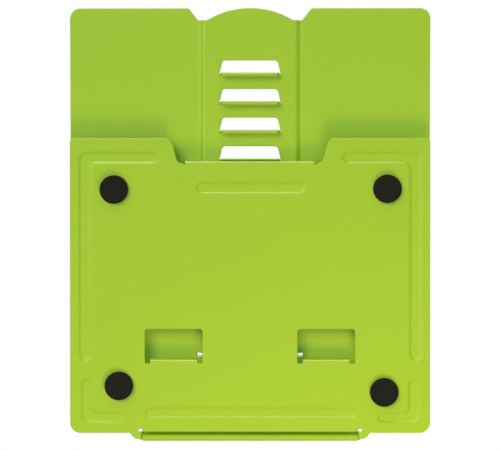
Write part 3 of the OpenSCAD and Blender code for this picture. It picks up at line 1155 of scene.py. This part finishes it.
@dataclass
class BackPlate:
    """Back of the stand: two wings, a centre channel with louvres, and the hinge knuckle."""

    axis_y: float = 49.1
    axis_z: float = 11.6
    length: float = 219.3
    top_half: float = 114.2
    top_r: float = 6.6
    low_half: float = 113.4
    low_r: float = 5.0
    hem: float = 6.2
    floor_half: float = 28.6
    knuckle_half: float = 17.0
    bracket_room: float = 3.25
    wing_gap: float = 0.8
    wall_end: float = 31.8
    wall_rise: float = 2.2
    # Lines along a channel wall, as shares of its width from the floor.
    wall_shares: tuple[float, ...] = (
        -0.35, -0.15, 0.0, 0.14, 0.3, 0.5, 0.7, 0.86, 1.0, 1.2, 1.45)
    # Inner and outer corners of the relief beside the channel's round top, and its depth.
    relief: Point = (27.05, 33.05)
    relief_d: float = 7.6
    relief_slope: float = 5.8
    # Radii of those corners, and of the top of the outer slope.
    relief_r: Triple = (2.5, 1.0, 2.2)
    crown_steps: int = 14
    # Half width, front and rear of the opening for the prop.
    opening: Triple = (22.5, 57.1, 166.1)
    lip: float = 173.1
    louvre_count: int = 4
    louvre_pitch: float = 18.1
    slot_h: float = 7.8
    # Half widths of a slot, at its top and at its lip.
    slot_half: Point = (17.4, 19.2)
    slot_corner_r: float = 2.6
    tab_len: float = 6.3
    tab_bend_r: float = 1.9
    tab_hem_r: float = 0.02
    tab_hem_len: float = 2.0

    @property
    def floor_z(self) -> float:
        """Height of the middle of the channel floor."""
        return self.axis_z + STOCK.roll_r + STOCK.half

    @property
    def tab_root(self) -> float:
        """Distance from a louvre's lip back to the start of its tab's bend."""
        return self.tab_bend_r + STOCK.thickness

    def rise(self, x: float) -> float:
        """Height of the sheet above the channel floor.

        Args:
            x: Distance from the middle of the plate.

        Returns:
            The height, in millimetres.
        """
        share = (abs(x) - self.floor_half) / (self.wall_end - self.floor_half)
        share = min(max(share, 0.0), 1.0)
        return self.wall_rise * share * share * (3.0 - 2.0 * share)

    def outline(self) -> list[Corner]:
        """Draws the plate's outline, with the round top of the channel.

        Returns:
            Its corners, anticlockwise.
        """
        top = self.axis_y + self.length
        low = top - self.relief_d
        room = self.axis_y + self.bracket_room
        wing = self.floor_half + self.wing_gap
        inner, outer = self.relief
        inner_r, outer_r, slope_r = self.relief_r
        arc_r = (inner * inner + self.relief_d * self.relief_d) / (2.0 * self.relief_d)
        spread = math.asin(inner / arc_r)
        angles = [spread * (1.0 - k / self.crown_steps) for k in range(1, self.crown_steps)]
        return mirrored(
            [
                Corner(self.knuckle_half, self.axis_y),
                Corner(self.knuckle_half, room),
                Corner(wing, room),
                Corner(wing, self.axis_y - self.hem),
                Corner(self.low_half, self.axis_y - self.hem, self.low_r),
                Corner(self.top_half, top, self.top_r),
                Corner(outer + self.relief_slope, top, slope_r),
                Corner(outer, low, outer_r),
                Corner(inner, low, inner_r),
                *(Corner(arc_r * math.sin(a), top - arc_r + arc_r * math.cos(a)) for a in angles),
            ],
            [Corner(0.0, top)],
        )

    def slots(self) -> list[list[Corner]]:
        """Draws the louvre slots.

        Returns:
            One outline for each louvre, from the hinge upwards.
        """
        top, low = self.slot_half
        lips = [self.lip + i * self.louvre_pitch for i in range(self.louvre_count)]
        return [
            mirrored([
                Corner(low, lip - self.tab_root),
                Corner(low, lip),
                Corner(top, lip + self.slot_h, self.slot_corner_r),
            ])
            for lip in lips
        ]

    def opening_outline(self) -> list[Corner]:
        """Draws the opening that the prop swings through."""
        half, front, rear = self.opening
        return mirrored([Corner(half, front), Corner(half, rear)])

    def creases(self) -> list[float]:
        """Lays lines along the channel walls, as distances from the middle of the plate."""
        span = self.wall_end - self.floor_half
        return [side * (self.floor_half + span * share) for side in SIDES for share in self.wall_shares]

    def add_tab(self, sheet: PressedSheet, lip: float, hemmed: bool) -> None:
        """Bends one louvre tab down from the lower edge of its slot.

        Args:
            sheet: The sheet that the tab belongs to.
            lip: Place of the slot's lower edge.
            hemmed: Whether the tab's end is folded back on itself.
        """
        straight = self.tab_len - self.tab_bend_r
        end = [Bend(straight)]
        if hemmed:
            fold = self.tab_hem_r + STOCK.thickness
            end = [Bend(straight - fold, -180.0, self.tab_hem_r), Bend(self.tab_hem_len)]
        section = bent_path(
            [Bend(0.0, -90.0, self.tab_bend_r), *end], (lip - self.tab_root, self.floor_z), 0.0)
        underside = self.floor_z - STOCK.half
        tip, root = self.slot_half

        def half_at(spot: Point) -> float:
            """Half the width of the tab, which narrows towards its tip."""
            share = min(max((underside - spot[1]) / self.tab_len, 0.0), 1.0)
            return root + (tip - root) * share

        sheet.strip(section, SIDES, widen=half_at)

    def tab_row(self, finishes: Finishes) -> bpy.types.Mesh:
        """Repeats the hemmed tab along the channel, above the first louvre.

        Args:
            finishes: The stand's materials.

        Returns:
            The tabs as one plain mesh.
        """
        sheet = PressedSheet()
        self.add_tab(sheet, self.lip + self.louvre_pitch, True)
        values = {
            "Material": finishes.paint,
            "Count": self.louvre_count - 1,
            "Pitch": self.louvre_pitch * MM,
        }
        tab = sheet.surface("louvre_tab")
        return repeated(tab, bpy.data.meshes.new("tab_row"), repeat_tree("louvre_row", True), values)

    def build(self, finishes: Finishes) -> None:
        """Builds and dresses the back plate.

        Args:
            finishes: The stand's materials.
        """
        sheet = PressedSheet()
        holes = [self.opening_outline(), *self.slots()]
        sheet.plate(self.outline(), self.floor_z, holes, creases=self.creases(), rise=self.rise)
        knuckle = bent_path(
            [Bend(0.0, STOCK.roll_angle, STOCK.roll_r)], (self.axis_y, self.floor_z), 180.0)
        sheet.strip(knuckle, (-self.knuckle_half, self.knuckle_half))
        self.add_tab(sheet, self.lip, False)
        tabs = self.tab_row(finishes)
        sheet.mesh.from_mesh(tabs)
        bpy.data.meshes.remove(tabs)
        seat(sheet.solid("back_pressing"), finishes.paint, Body.BACK, ["back_plate"])


@dataclass
class PropStrut:
    """Folding prop with a rolled knuckle, a stiffening rib and a narrowed tip."""

    axis: Point = (160.6, 10.0)
    tilt: float = 3.594
    length: float = 102.5
    half: float = 20.0
    tip_half: float = 17.0
    tip_r: float = 3.0
    # Distances from the tip between which the prop widens.
    tip_neck: Point = (10.0, 14.0)
    knuckle_half: float = 14.4
    # Places from the hinge axis between which it narrows to the knuckle.
    knuckle_neck: Point = (-9.0, -5.0)
    # Near and far ends of the rib, and its half width.
    rib: Triple = (-20.4, -75.4, 3.7)

    def build(self, finishes: Finishes) -> None:
        """Builds and dresses the prop.

        Args:
            finishes: The stand's materials.
        """
        height = STOCK.roll_r + STOCK.half
        sheet = PressedSheet(hinged(self.axis, self.tilt))
        narrow, wide = self.tip_neck
        full, slim = self.knuckle_neck
        outline = mirrored([
            Corner(self.tip_half, -self.length, self.tip_r),
            Corner(self.tip_half, narrow - self.length),
            Corner(self.half, wide - self.length),
            Corner(self.half, full),
            Corner(self.knuckle_half, slim),
            Corner(self.knuckle_half, 0.0),
        ])
        near, far, w = self.rib
        rib = bar_rib(w, (near - far) / 2 + w, (near + far) / 2)
        sheet.plate(outline, height, ribs=[rib])
        knuckle = bent_path([Bend(0.0, -STOCK.roll_angle, STOCK.roll_r)], (0.0, height), 0.0)
        sheet.strip(knuckle, (-self.knuckle_half, self.knuckle_half))
        seat(sheet.solid("prop_pressing"), finishes.paint, Body.STRUT, ["prop_strut"])


@dataclass
class PageStop:
    """Flap along the front edge that holds the pages, rolled round its own rod."""

    tilt: float = -5.0
    length: float = 40.0
    half: float = 68.1
    corner_r: float = 8.0

    def build(self, finishes: Finishes) -> None:
        """Builds and dresses the page stop.

        Args:
            finishes: The stand's materials.
        """
        height = STOCK.stop_roll_r + STOCK.half
        sheet = PressedSheet(hinged(STOCK.stop_axis, self.tilt))
        flap = mirrored([Corner(self.half, 0.0), Corner(self.half, self.length, self.corner_r)])
        sheet.plate(flap, height)
        roll = bent_path([Bend(0.0, STOCK.roll_angle, STOCK.stop_roll_r)], (0.0, height), 180.0)
        sheet.strip(roll, (-self.half, self.half))
        seat(sheet.solid("page_stop_pressing"), finishes.paint, Body.STOP, ["page_stop"])


@dataclass
class RubberFeet:
    """Four stick-on rubber discs under the base."""

    diameter: float = 18.0
    height: float = 3.0
    rim_r: float = 0.8
    rim_steps: int = 6
    top_edge: float = 0.25
    sole_rings: int = 4
    sides: int = 72
    nodes: tuple[str, ...] = ("rear_left_foot", "rear_right_foot", "front_left_foot", "front_right_foot")

    def profile(self) -> list[Point]:
        """Draws half of a disc's section, from the middle of its sole to the middle of its top.

        Returns:
            Radius and height of each point.
        """
        r = self.diameter / 2
        centre = r - self.rim_r
        sole = [(k * centre / self.sole_rings, 0.0) for k in range(1, self.sole_rings + 1)]
        arc = [math.radians(90.0 * k / self.rim_steps - 90.0) for k in range(1, self.rim_steps + 1)]
        rim = [
            (centre + self.rim_r * math.cos(a), self.rim_r + self.rim_r * math.sin(a)) for a in arc
        ]
        edge = [(r, self.height - self.top_edge), (r - self.top_edge, self.height)]
        return [*sole, *rim, *edge, (r / 2, self.height)]

    def disc(self) -> bpy.types.Object:
        """Turns one disc about its own axis.

        Returns:
            The disc, standing on the origin.
        """
        mesh = bmesh.new()
        angles = [math.tau * k / self.sides for k in range(self.sides)]
        rings = []
        for r, z in self.profile():
            spots = [Vector((r * math.cos(a), r * math.sin(a), z)) * MM for a in angles]
            rings.append([mesh.verts.new(s) for s in spots])
        sole, top = (mesh.verts.new((0.0, 0.0, z * MM)) for z in (0.0, self.height))
        for k in range(self.sides):
            n = (k + 1) % self.sides
            mesh.faces.new([sole, rings[0][n], rings[0][k]])
            mesh.faces.new([top, rings[-1][k], rings[-1][n]])
            for low, high in zip(rings, rings[1:]):
                mesh.faces.new([low[k], low[n], high[n], high[k]])
        return shown(mesh, "rubber_disc")

    def spots(self) -> list[Vector]:
        """Finds the middle of each foot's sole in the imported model.

        Returns:
            One point for each foot.
        """
        found = []
        for node in self.nodes:
            low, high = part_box(node)
            found.append(Vector(((low.x + high.x) / 2, (low.y + high.y) / 2, low.z)))
        return found

    def build(self, finishes: Finishes) -> None:
        """Builds and dresses the feet.

        Args:
            finishes: The stand's materials.
        """
        disc = self.disc()
        spots = bpy.data.meshes.new("foot_spots")
        spots.from_pydata(self.spots(), [], [])
        tree = repeat_tree("feet_at_spots", False)
        mesh = repeated(disc, spots, tree, {"Material": finishes.rubber})
        mesh.name = "rubber_feet"
        made = linked("rubber_feet", mesh)
        seat(made, finishes.rubber, Body.BASE, self.nodes)


@dataclass
class Hardware:
    """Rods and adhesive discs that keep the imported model's own shape."""

    rods: tuple[str, ...] = ("back_hinge_rod", "strut_hinge_rod", "stop_hinge_rod")
    pads: tuple[str, ...] = ("rear_left_pad", "rear_right_pad", "front_left_pad", "front_right_pad")

    def build(self, finishes: Finishes) -> None:
        """Gives the rods and discs their materials.

        Args:
            finishes: The stand's materials.
        """
        for nodes, material in ((self.rods, finishes.steel), (self.pads, finishes.adhesive)):
            for node in nodes:
                dress(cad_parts[node], material)
                LOG.info("%s: %s", node, material.name)


@dataclass
class PhotoCamera:
    """Camera that looks up at the underside of the folded stand."""

    place: Triple = (-15.95, 27.11, -1600.0)
    yaw: float = 0.568
    pitch: float = -0.979
    roll: float = -0.024
    focal_px: float = 2546.7
    sensor: float = 36.0
    reach: float = 20.0

    def build(self) -> None:
        """Sets the scene's camera."""
        data = bpy.data.cameras.new("photo_camera")
        data.sensor_fit = "HORIZONTAL"
        data.sensor_width = self.sensor
        data.lens = self.focal_px / IMAGE_WIDTH * self.sensor
        data.clip_end = self.reach
        made = linked("photo_camera", data)
        turn = (
            Matrix.Rotation(math.pi + math.radians(self.yaw), 4, "Y")
            @ Matrix.Rotation(math.radians(self.pitch), 4, "X")
            @ Matrix.Rotation(math.radians(self.roll), 4, "Z")
        )
        made.matrix_world = Matrix.Translation(Vector(self.place) * MM) @ turn
        bpy.context.scene.camera = made


def aim(lamp: bpy.types.Object, source: Triple) -> None:
    """Turns a lamp so that it shines from a source towards the stand."""
    lamp.rotation_mode = "QUATERNION"
    lamp.rotation_quaternion = (-Vector(source)).to_track_quat("-Z", "Y")


@dataclass(frozen=True)
class WideLamp:
    """Wide, even lamp, which fills a spread of so many degrees as seen from the stand."""

    name: str
    strength: float
    source: Triple
    spread: float
    tint: Triple = (1.0, 1.0, 1.0)
    gloss_only: bool = False

    def build(self) -> None:
        """Adds the lamp, which shows only as highlights when it is for gloss alone."""
        data = bpy.data.lights.new(self.name, "SUN")
        data.energy = self.strength
        data.color = self.tint
        data.angle = math.radians(self.spread)
        made = linked(self.name, data)
        aim(made, self.source)
        made.visible_diffuse = not self.gloss_only


@dataclass
class Studio:
    """White surroundings, soft lamps and a pale floor, with places and sizes in metres."""

    ambient: Triple = (0.085, 0.25, 0.30)
    lamps: tuple[WideLamp, ...] = (
        WideLamp("key_lamp", 1.48, (0.42, 0.34, -0.84), 30.0, (1.0, 0.695, 0.55)),
        WideLamp("front_lamp", 0.4, (0.0, 0.0, -1.0), 75.0, (0.05, 1.0, 0.6)),
        WideLamp("gleam_lamp", 2.5, (0.12, 0.99, -0.08), 30.0, (1.0, 0.85, 0.6), gloss_only=True),
        WideLamp("glance_lamp", 0.45, (0.80, 0.10, -0.55), 50.0, gloss_only=True),
        WideLamp("rim_lamp", 0.8, (0.18, 0.95, -0.22), 45.0, (1.0, 0.9, 0.85)),
        WideLamp("top_lamp", 2.2, (-0.5, -0.7, 1.6), 30.0, (1.0, 0.73, 0.6)),
    )
    fill_power: float = 2.15
    fill_tint: Triple = (1.0, 0.588, 0.2)
    fill_place: Triple = (-0.13, -0.43, -0.44)
    fill_size: float = 0.3
    floor_half: float = 3.0
    floor_z: float = -0.0003
    floor_tint: Triple = (0.86, 0.86, 0.85)
    floor_roughness: float = 0.9

    def world(self) -> None:
        """Makes white surroundings that light the stand at a plain level."""
        world = bpy.data.worlds.new("white_room")
        bpy.context.scene.world = world
        world.use_nodes = True
        kit = NodeKit(world.node_tree)
        path = kit.add("ShaderNodeLightPath")
        seen = kit.add("ShaderNodeMath", operation="MAXIMUM")
        through = kit.add("ShaderNodeMath", operation="MAXIMUM")
        shades = {"A": (*self.ambient, 1.0), "B": (1.0, 1.0, 1.0, 1.0)}
        shade = kit.add("ShaderNodeMix", shades, data_type="RGBA")
        kit.join(
            (path, "Is Camera Ray", seen, 0),
            (path, "Is Glossy Ray", seen, 1),
            (seen, "Value", through, 0),
            (path, "Is Transmission Ray", through, 1),
            (through, "Value", shade, "Factor"),
            (shade, "Result", world.node_tree.nodes["Background"], "Color"),
        )

    def fill(self) -> None:
        """Adds the warm near lamp on the reader's left."""
        data = bpy.data.lights.new("warm_fill", "AREA")
        data.shape = "DISK"
        data.size = self.fill_size
        data.energy = self.fill_power
        data.color = self.fill_tint
        made = linked("warm_fill", data)
        made.location = self.fill_place
        aim(made, self.fill_place)
        made.visible_camera = False
        made.visible_glossy = False

    def pale(self) -> bpy.types.Material:
        """Builds the floor's material, which is clear from below.

        Returns:
            The material.
        """
        made = bpy.data.materials.new("pale_floor")
        made.use_nodes = True
        kit = NodeKit(made.node_tree)
        face = made.node_tree.nodes["Principled BSDF"]
        kit.fill(face, {"Base Color": (*self.floor_tint, 1.0), "Roughness": self.floor_roughness})
        side = kit.add("ShaderNodeNewGeometry")
        clear = kit.add("ShaderNodeBsdfTransparent")
        mix = kit.add("ShaderNodeMixShader")
        kit.join(
            (side, "Backfacing", mix, "Fac"),
            (face, "BSDF", mix, 1),
            (clear, "BSDF", mix, 2),
            (mix, "Shader", made.node_tree.nodes["Material Output"], "Surface"),
        )
        return made

    def floor(self) -> None:
        """Lays a pale floor that shows from above only and takes no part in the stand's light."""
        h, z = self.floor_half, self.floor_z
        data = bpy.data.meshes.new("floor")
        data.from_pydata([(-h, -h, z), (h, -h, z), (h, h, z), (-h, h, z)], [], [(0, 1, 2, 3)])
        made = linked("floor", data)
        dress(made, self.pale())
        made.visible_diffuse = False
        made.visible_glossy = False
        made.visible_shadow = False

    def build(self) -> None:
        """Sets up the room, lamps and floor."""
        bpy.context.scene.view_settings.view_transform = "Standard"
        self.world()
        for lamp in self.lamps:
            lamp.build()
        self.fill()
        self.floor()


@dataclass
class BookStand:
    """The whole stand, piece by piece."""

    base: BasePlate = field(default_factory=BasePlate)
    back: BackPlate = field(default_factory=BackPlate)
    strut: PropStrut = field(default_factory=PropStrut)
    stop: PageStop = field(default_factory=PageStop)
    feet: RubberFeet = field(default_factory=RubberFeet)
    hardware: Hardware = field(default_factory=Hardware)

    def build(self, finishes: Finishes) -> None:
        """Builds and dresses every piece."""
        for part in (self.base, self.back, self.strut, self.stop, self.feet, self.hardware):
            part.build(finishes)


def main() -> None:
    """Builds the stand, its room and its camera."""
    logging.basicConfig(level=logging.INFO, format="%(name)s: %(message)s")
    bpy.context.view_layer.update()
    PhotoCamera().build()
    Studio().build()
    BookStand().build(Finishes())
    bpy.context.view_layer.update()


if __name__ == "__main__":
    main()
